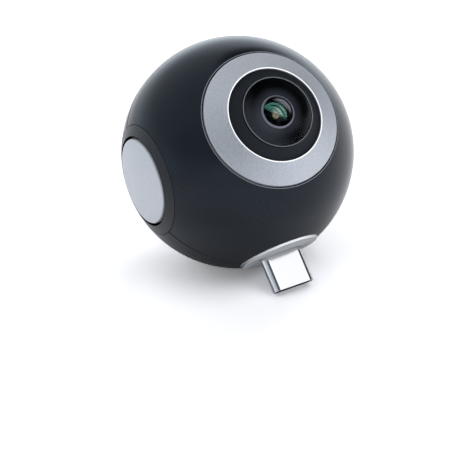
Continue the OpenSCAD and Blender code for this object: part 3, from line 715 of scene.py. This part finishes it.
# How far out that way, in millimetres, the painted light on the ink starts and is full
PAINTED_LIT_STARTS = 0.5
PAINTED_LIT_FULL = 6.0
# How strong the painted halo of light beside the ground rim is, the rim's radius and the halo's width
PAINTED_HALO = 0.55
HOLLOW_RIM = 2.8
INK_FADE = 1.9
# The ink's grain in millimetres, coarser than the real one so that it shows
INK_GRAIN = 0.4


def inked_back(name, shade, lit):
    """Black lens ink with painted light: a painted halo beside the ground rim, and a painted lit side away
    from the black card.
    """
    material, tree = blank(name)
    place = add(tree, "TexCoord")
    flat = add(tree, "Mapping", {"Vector": place.outputs["Object"], **ABOUT["Y"]})
    away = add(tree, "VectorMath", {0: flat.outputs[0]}, operation="LENGTH")
    # Painted light: a halo beside the ground rim and a lighter side, mixed into the ink's colour
    painted_halo = add(tree, "MapRange", {
        "Value": away.outputs["Value"], "From Min": HOLLOW_RIM, "From Max": HOLLOW_RIM + INK_FADE,
        "To Min": PAINTED_HALO, "To Max": 0.0,
    }, interpolation_type="SMOOTHSTEP")
    aside = add(tree, "VectorMath", {0: flat.outputs[0], 1: PAINTED_LIT_SIDE}, operation="DOT_PRODUCT")
    painted_light = add(tree, "MapRange", {
        "Value": aside.outputs["Value"], "From Min": PAINTED_LIT_STARTS, "From Max": PAINTED_LIT_FULL,
    }, interpolation_type="SMOOTHSTEP")
    level = add(tree, "Math", {0: painted_halo.outputs[0], 1: painted_light.outputs[0]}, operation="ADD")
    colour = add(tree, "Mix", {0: level.outputs[0], 6: linear(shade), 7: linear(lit)}, data_type="RGBA")
    grain = add(tree, "TexNoise", {"Vector": place.outputs["Object"], "Scale": per_mm(INK_GRAIN)})
    rough = add(tree, "MapRange", {"Value": grain.outputs["Fac"], "To Min": 0.4, "To Max": 0.6})
    shader = add(tree, "BsdfPrincipled", {
        "Base Color": colour.outputs[2], "Roughness": rough.outputs[0], "Specular IOR Level": 0.0,
    })
    add(tree, "OutputMaterial", {"Surface": shader.outputs[0]})
    print(f"{name}: from {shade} to {lit}")
    return material


# Black lens lacquer: deep black, with painted light in charcoal beside the ground rim and on one side
lens_ink = inked_back("lens_ink", shade="#0b0c0f", lit="#5b5f67")

# %% The front glasses
# The hollow's own radius, the width and height of its ground rim and the thickness of the ink
HOLLOW_R = 3.2
GROUND = 0.27
INK_FILM = 0.03
DOME_STEPS = 40
HOLLOW_STEPS = 24

for side, place in SIDES.items():
    node = f"{side}_outer_lens"
    _, rim, cad_back, apex = reach(node, place)
    back = cad_back + INK_FILM
    dome_low = heights_at(node, place, rim)[1]
    rise = apex - dome_low
    dome_r = (rim**2 + rise**2) / (2 * rise)
    hollow = min(r for r, h in corners(node, place) if abs(h - cad_back) < NEAR)
    throat = hollow - GROUND
    throat_h = back + GROUND
    hollow_c = throat_h - sqrt(HOLLOW_R**2 - throat**2)
    outline = arc(dome_r, apex - dome_r, 0, rim, DOME_STEPS)
    outline += [(rim, back), (hollow, back)]
    outline += arc(HOLLOW_R, hollow_c, throat, 0, HOLLOW_STEPS)
    glass = turned(outline, closed=False)
    paint(glass, 1, lambda r, h: h < back + NEAR or (r > rim - NEAR and h < dome_low))
    paint(glass, 2, lambda r, h: throat < r < hollow and back + NEAR < h < throat_h)
    paint(glass, 3, lambda r, h: r < throat and h < hollow_c + HOLLOW_R + NEAR)
    coats = [dome_glass, lens_ink, ground_glass, hollow_glass]
    piece = finished(glass, f"{side}_dome_glass", BODY, node, place, coats)
    print(f"dome radius {dome_r:.2f} mm, hollow {hollow:.2f} mm")

# %% [markdown]
# The second glass
#
# Behind the hollow sits the next lens. Its coating throws back green, and the barrel behind it is black, so
# it shows as a dark pupil with a green window in it. A whole stack of clear lenses could make such windows
# by itself, but slowly and full of noise. So this lens keeps its CAD shape, and one material holds painted
# reflections: black, a painted window in two greens with streaks across it, and a painted warm glimpse of
# the filter behind.

# %% Finish of the second glass
# The painted window's middle, the way from its dark edge to its bright one, and where along it that edge
# lies
PAINTED_WINDOW = Vector((0.7, 0, 0.2))
PAINTED_WINDOW_WAY = Vector((0.68, 0, 0.73))
PAINTED_WINDOW_STARTS = -0.5
PAINTED_WINDOW_FULL = 0.6
# The distances from its middle, in millimetres, over which the pale green turns to the deep one
GREEN_PALE = 0.4
GREEN_DEEP = 1.7
# The spacing of its streaks in millimetres, and how much is left between them
STREAKS = 0.6283
STREAKS_LEAST = 0.75
# The painted glimpse's middle, a painted reflection of the warm filter, and the distances from it where it
# is full and gone
PAINTED_GLIMPSE = Vector((-0.15, 0, -0.3))
PAINTED_GLIMPSE_FULL = 0.2
PAINTED_GLIMPSE_ENDS = 1.0


def coated_stack(name):
    """The lenses behind: black, with a painted reflection of a window in the coating's greens and a painted
    warm glimpse of the filter.
    """
    material, tree = blank(name)
    place = add(tree, "TexCoord")
    flat = add(tree, "Mapping", {"Vector": place.outputs["Object"], **ABOUT["Y"]})
    # A painted reflection: a window in the coating's greens, broken by streaks
    along = add(tree, "VectorMath", {0: flat.outputs[0], 1: PAINTED_WINDOW_WAY}, operation="DOT_PRODUCT")
    painted_window = add(tree, "MapRange", {
        "Value": along.outputs["Value"], "From Min": PAINTED_WINDOW_STARTS, "From Max": PAINTED_WINDOW_FULL,
    }, interpolation_type="SMOOTHSTEP")
    streaks = add(tree, "TexWave", {
        "Vector": flat.outputs[0], "Scale": WAVE / STREAKS, "Distortion": 3.0, "Detail": 1.0,
    }, wave_type="RINGS")
    broken = add(tree, "MapRange", {"Value": streaks.outputs["Fac"], "To Min": STREAKS_LEAST})
    share = add(tree, "Math", {0: painted_window.outputs[0], 1: broken.outputs[0]}, operation="MULTIPLY")
    out = add(tree, "VectorMath", {0: flat.outputs[0], 1: PAINTED_WINDOW}, operation="DISTANCE")
    fall = add(tree, "MapRange", {
        "Value": out.outputs["Value"], "From Min": GREEN_PALE, "From Max": GREEN_DEEP,
    })
    greens = add(tree, "Mix", {
        0: fall.outputs[0], 6: linear("#a6c6b6"), 7: linear("#366a5e"),
    }, data_type="RGBA")
    mirror = add(tree, "Mix", {
        0: share.outputs[0], 6: linear("#020304"), 7: greens.outputs[2],
    }, data_type="RGBA")
    # A painted reflection of the warm filter behind, where the lens is not metallic
    gap = add(tree, "VectorMath", {0: flat.outputs[0], 1: PAINTED_GLIMPSE}, operation="DISTANCE")
    painted_glimpse = add(tree, "MapRange", {
        "Value": gap.outputs["Value"], "From Min": PAINTED_GLIMPSE_FULL, "From Max": PAINTED_GLIMPSE_ENDS,
        "To Min": 1.0, "To Max": 0.0,
    }, interpolation_type="SMOOTHSTEP")
    colour = add(tree, "Mix", {
        0: painted_glimpse.outputs[0], 6: mirror.outputs[2], 7: linear("#b3a68f"),
    }, data_type="RGBA")
    metal = add(tree, "Math", {0: 1.0, 1: painted_glimpse.outputs[0]}, operation="SUBTRACT")
    shader = add(tree, "BsdfPrincipled", {
        "Base Color": colour.outputs[2], "Metallic": metal.outputs[0], "Roughness": 0.08,
        "Specular IOR Level": 0.0,
    })
    add(tree, "OutputMaterial", {"Surface": shader.outputs[0]})
    print(f"{name}: streaks every {STREAKS:.2f} mm")
    return material


# %% Inner lenses


def both(*names):
    """The full names of these pieces of the front lens and of the rear one."""
    return [f"{side}_{name}" for side in SIDES for name in names]


def dress(material, *names):
    """Give CAD pieces that keep their shape a finish."""
    for name in names:
        nodes[name].data.materials.clear()
        nodes[name].data.materials.append(material)
    print(f"{material.name} on", ", ".join(names))


# Optical glass with a green coating, in front of a black barrel: a dark pupil with a painted green
# reflection
dress(coated_stack("green_coated_glass"), *both("inner_lens", "relay_lens"))

# %% [markdown]
# Side discs
#
# The left disc is the push button, the right one a fixed plate that looks the same. Both are domed and
# satin. Under the button hang a skirt and a stem with a groove for its clip. A dome could be a sphere that
# is cut off, but the disc is turned on the real thing, so its whole cross-section is one outline here too,
# measured on the CAD piece.

# %% Button and side plate
FACE_STEPS = 24
# Corners this far from an edge, in millimetres, don't belong to it
CLEAR = 0.05


def disc_outline(node, place, clip):
    """Half the cross-section of a side disc, from the middle of its face to the end of its stem."""
    _, rim, stem_end, apex = reach(node, place)
    foot, edge = heights_at(node, place, rim)
    points = corners(node, place)
    face_r, face_h = max((r, h) for r, h in points if r < rim - CLEAR and h > edge + CLEAR)
    rise = apex - face_h
    dome_r = (face_r**2 + rise**2) / (2 * rise)
    skirt = min(r for r, h in points if abs(h - foot) < NEAR)
    stem = max(r for r, h in points if abs(h - stem_end) < NEAR)
    under = max(h for r, h in points if abs(r - skirt) < NEAR)
    outline = arc(dome_r, apex - dome_r, 0, face_r, FACE_STEPS)
    outline += [(rim, edge), (rim, foot), (skirt, foot), (skirt, under), (stem, under)]
    if clip:
        groove = min(r for r, h in points if stem_end + CLEAR < h < under - CLEAR)
        _, _, clip_low, clip_high = reach(clip, place)
        outline += [(stem, clip_high), (groove, clip_high), (groove, clip_low), (stem, clip_low)]
    return outline + [(stem, stem_end), (0, stem_end)]


DISCS = (
    ("button_cap", LEFT, BUTTON, "button_clip"),
    ("side_plate", RIGHT, BODY, None),
)
for node, place, body, clip in DISCS:
    disc = turned(disc_outline(node, place, clip), closed=False)
    piece = finished(disc, f"{node}_satin", body, node, place, [fine_aluminium])

# %% [markdown]
# Base plate and plug
#
# The plug's steel is drawn to a flat tube with round ends, and the base plate has a hole to match. Neither
# is round, so spin can't make them, and cutting the hole would leave long thin faces that spoil the shading.
# So both are lofted: a loop of vertices per height, each a circle pulled apart into a stadium, bridged to
# the next.

# %% Helper for lofted pieces


def lofted(sections):
    """Bridge loops of (width, thickness, height), each a circle pulled apart along X, and close the last."""
    shape = bmesh.new()
    loops = []
    for width, thickness, height in sections:
        made = bmesh.ops.create_circle(shape, segments=CIRCLE_STEPS, radius=thickness / 2)["verts"]
        pull = (width - thickness) / 2
        for vert in made:
            vert.co.x += pull if vert.co.x > 0 else -pull
            vert.co.z = height
        loops.append(list({edge for vert in made for edge in vert.link_edges}))
    for one, other in zip(loops, loops[1:] + loops[:1]):
        bmesh.ops.bridge_loops(shape, edges=one + other)
    bmesh.ops.recalc_face_normals(shape, faces=shape.faces)
    return shape


print("a lofted piece has", CIRCLE_STEPS, "points in a loop")

# %% Base plate
BASE_CHAMFER = 0.3
HOLE_GAP = 0.2

plug_low, plug_high = (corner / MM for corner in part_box("plug_shell"))
plug_w, plug_t = plug_high.x - plug_low.x, plug_high.y - plug_low.y
hole = plug_w + 2 * HOLE_GAP, plug_t + 2 * HOLE_GAP
flange_d = 2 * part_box("base_plate")[1].x / MM
flange_low = heights_at("base_plate", UPRIGHT, flange_d / 2)[0]
flange_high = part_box("base_plate")[1].z / MM
neck_d = 2 * max(r for r, h in corners("base_plate", UPRIGHT) if h < flange_low - NEAR)
face_d = neck_d - 2 * BASE_CHAMFER
plate = lofted([
    (face_d, face_d, 0), (neck_d, neck_d, BASE_CHAMFER), (neck_d, neck_d, flange_low),
    (flange_d, flange_d, flange_low), (flange_d, flange_d, flange_high), (*hole, flange_high), (*hole, 0),
])
paint(plate, 1, lambda r, h: face_d / 2 < r < neck_d / 2 and h < BASE_CHAMFER)
piece = finished(plate, "base_plate_satin", BODY, "base_plate", UPRIGHT, [dull_aluminium, bright_aluminium])

# %% Plug shell
PLUG_WALL = 0.25
TIP_ROUND = 0.06
TIP_STEPS = 5

# The second section, close to the rounded tip, keeps the shading of the long flat sides flat
sections = [(plug_w, plug_t, plug_high.z), (plug_w, plug_t, plug_low.z + 2 * TIP_ROUND)]
for i in range(TIP_STEPS + 1):
    turn = pi / 2 * i / TIP_STEPS
    inset = 2 * TIP_ROUND * (1 - cos(turn))
    sections.append((plug_w - inset, plug_t - inset, plug_low.z + TIP_ROUND * (1 - sin(turn))))
bore = plug_w - 2 * PLUG_WALL, plug_t - 2 * PLUG_WALL
sections += [(*bore, plug_low.z), (*bore, plug_high.z)]
piece = finished(lofted(sections), "plug_drawn_steel", BODY, "plug_shell", UPRIGHT, [bright_nickel])

# %% [markdown]
# What keeps its CAD shape
#
# The two half shells and the side collars are already what they should be: parts of one ball. The pieces
# inside are only seen through the plug's mouth or the glass. They could be left grey, but the camera may be
# taken apart in a picture some day, so each still gets the finish of its real material.

# %% Shells and collars
dress(painted_abs, "front_shell", "rear_shell")
dress(moulded_abs, "button_collar", "side_collar")

# %% Inside: lens pieces, boards and screws
# Black anodised aluminium: it swallows stray light
dress(
    grained("black_anodised", "#0f1013", "#16171b", grain=0.2, roughness=0.5, Metallic=0.6),
    *both("lens_barrel", "lens_spacer", "aperture_stop"),
)
# Moulded nylon with glass fibre: dull black
dress(
    grained("moulded_nylon", "#131416", "#1b1c1f", grain=0.25, roughness=0.55, relief=0.004),
    *both("lens_holder"), "side_switch", "plug_insulator", "plug_carrier",
)
# Coated filter glass: a smooth plate that mirrors red
dress(
    grained("filter_glass", "#7a3840", "#8c4550", grain=2.0, roughness=0.05, spread=0.02),
    *both("ir_filter"),
)
# A silicon die under its microlenses: dark violet and shiny
dress(grained("sensor_die", "#2b2a3a", "#4a4560", grain=0.3, roughness=0.15), *both("image_sensor"))
# Solder mask over glass fibre: green, with the weave showing a little
dress(
    grained("solder_mask", "#0e4524", "#15572f", grain=0.6, roughness=0.35, relief=0.003),
    *both("sensor_board"), "main_board",
)
# Polyimide film: clear amber over copper
dress(grained("polyimide_film", "#a8661c", "#bd7a2a", grain=0.8, roughness=0.3), *both("sensor_flex"))
# Zinc plated steel: bluish grey, a little uneven
dress(
    grained("zinc_steel", "#a9abad", "#bfc1c3", grain=0.3, roughness=0.3, Metallic=1.0),
    *both("module_screws"), "collar_screws", "board_screws", "button_clip",
)

# %% Inside: chips, small pieces and contacts
# Moulded epoxy: matt black chips
dress(
    grained("chip_epoxy", "#1d1d20", "#29292c", grain=0.15, roughness=0.5, relief=0.003),
    "image_processor", "memory_chip",
)
# Filled silicone: a soft blue grey pad
dress(grained("silicone_pad", "#8590a8", "#98a3ba", grain=0.3, roughness=0.7, relief=0.01), "thermal_pad")
# Tinned steel sheet: pale and softly mirrored
dress(grained("tinned_sheet", "#b4b6ba", "#c9cbcf", grain=0.6, roughness=0.28, Metallic=1.0), "shield_can")
# Pressed ferrite: dull dark grey
dress(grained("ferrite", "#3f4043", "#545559", grain=0.2, roughness=0.6, relief=0.004), "power_coil")
# Fired ceramic: tan blocks with a faint gloss
dress(grained("ceramic", "#a08a68", "#b7a17e", grain=0.2, roughness=0.4), "capacitors")
# Natural nylon: ivory
dress(grained("ivory_nylon", "#cfc6b2", "#ddd5c3", grain=0.3, roughness=0.5), "flex_sockets")
# Moulded acetal: white and slightly waxy
dress(grained("white_acetal", "#d6d6d0", "#e4e4de", grain=0.3, roughness=0.4), "switch_plunger")
# Gold over nickel: warm and bright
dress(grained("gold_plate", "#c79a45", "#dcb25e", grain=0.15, roughness=0.25, Metallic=1.0), "plug_contacts")
print("finishes:", len(bpy.data.materials))

# %% [markdown]
# Finish
#
# The picture is shown through Blender's Standard view transform.

# %% Finish
scene.view_settings.view_transform = "Standard"
